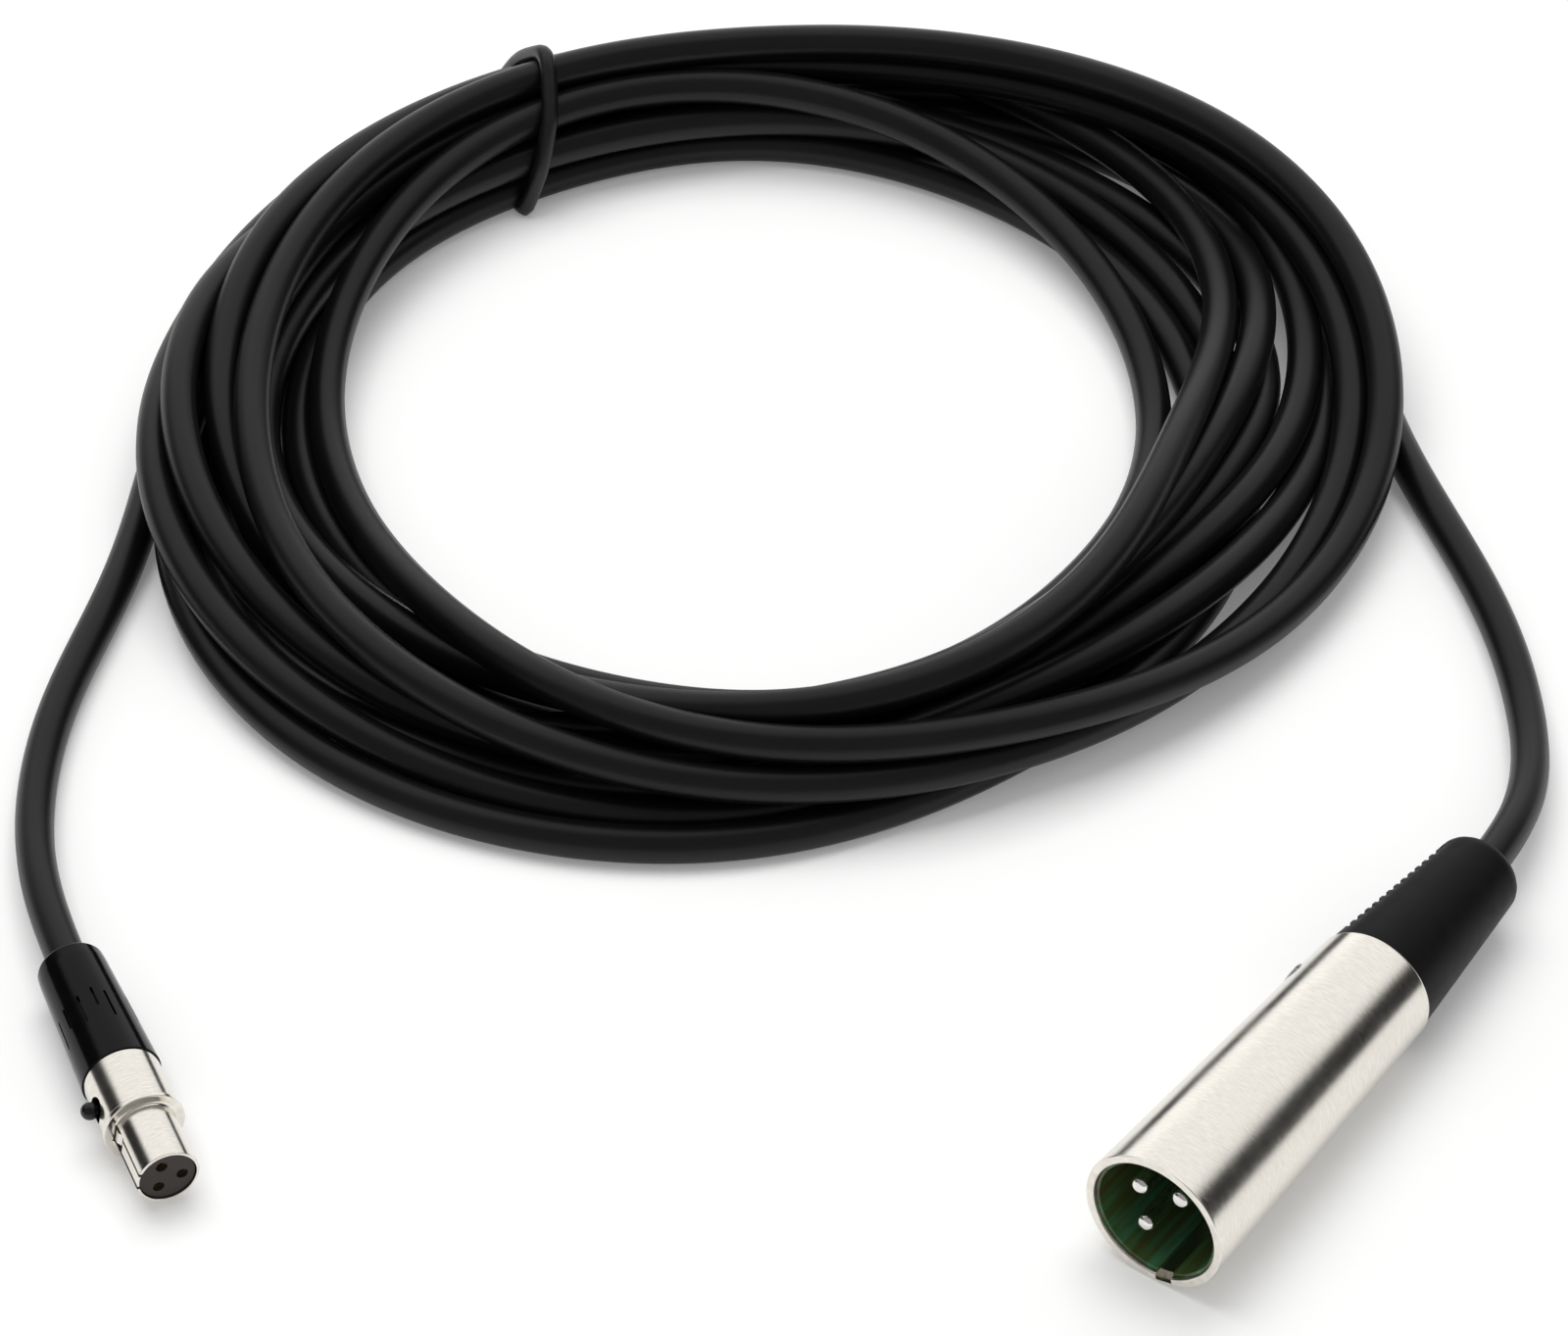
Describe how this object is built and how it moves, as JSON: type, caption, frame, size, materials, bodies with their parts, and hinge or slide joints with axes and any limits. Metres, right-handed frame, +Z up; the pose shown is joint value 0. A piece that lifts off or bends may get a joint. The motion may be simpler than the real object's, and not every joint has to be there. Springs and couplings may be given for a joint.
{
  "type": "xlr cable coil",
  "caption": "Coiled audio cable with a male three-pin XLR plug, a female miniature XLR plug with a push-button latch, and a rubber tie ring.",
  "frame": {"origin": "centre of the box's footprint, on the surface that the coil and both plugs lie on", "axes": "+Z up; -Y the way the two plugs' mouths face; +X towards the XLR plug's side"},
  "size_m": [0.1955, 0.2434, 0.0189],
  "materials": {
    "jacket": "satin black flexible jacket",
    "tie_rubber": "smooth black rubber",
    "nickel": "satin nickel with fine rings of turning marks",
    "mini_nickel": "bright nickel",
    "block_green": "very dark green moulded plastic",
    "block_black": "dark grey-brown moulded plastic",
    "pin_silver": "bright plated contact",
    "contact_brass": "plated brass",
    "screw_steel": "plated steel",
    "clamp_metal": "plated metal",
    "boot_rubber": "matte black rubber with fine ribs",
    "boot_gloss": "glossy black moulded boot",
    "latch_steel": "bright spring steel",
    "button_black": "glossy black plastic",
    "bare_copper": "tinned stranded wire",
    "wire_red": "red insulation",
    "wire_white": "white insulation"
  },
  "bodies": {
    "lead": {"cable_coil": "jacket", "cable_lead_xlr": "jacket", "cable_lead_mini": "jacket", "tie_ring": "tie_rubber", "xlr_shell": "nickel", "xlr_contact_block": "block_green", "xlr_pin_1": "pin_silver", "xlr_pin_2": "pin_silver", "xlr_pin_3": "pin_silver", "xlr_shell_tab": "contact_brass", "xlr_retaining_screw": "screw_steel", "xlr_clamp_base": "clamp_metal", "xlr_clamp_cap": "clamp_metal", "xlr_clamp_screws": "screw_steel", "xlr_boot": "boot_rubber", "xlr_cable_end": "jacket", "xlr_wire_1": "bare_copper", "xlr_wire_2": "wire_red", "xlr_wire_3": "wire_white", "mini_shell": "mini_nickel", "mini_contact_face": "block_black", "mini_contact_block": "block_black", "mini_socket_1": "contact_brass", "mini_socket_2": "contact_brass", "mini_socket_3": "contact_brass", "mini_cable_crimp": "clamp_metal", "mini_boot": "boot_gloss", "mini_cable_end": "jacket", "mini_wire_1": "bare_copper", "mini_wire_2": "wire_red", "mini_wire_3": "wire_white"},
    "latch": {"mini_latch_lever": "latch_steel", "mini_release_button": "button_black"}
  },
  "joints": [
    {"name": "latch_press", "type": "hinge", "parent": "lead", "child": "latch", "pos_m": [-0.08384, -0.08744, 0.00571], "axis": [0.1756, 0.0746, 0.9816], "range_deg": [0, 4], "stiffness_Nm_per_rad": 0.05}
  ]
}
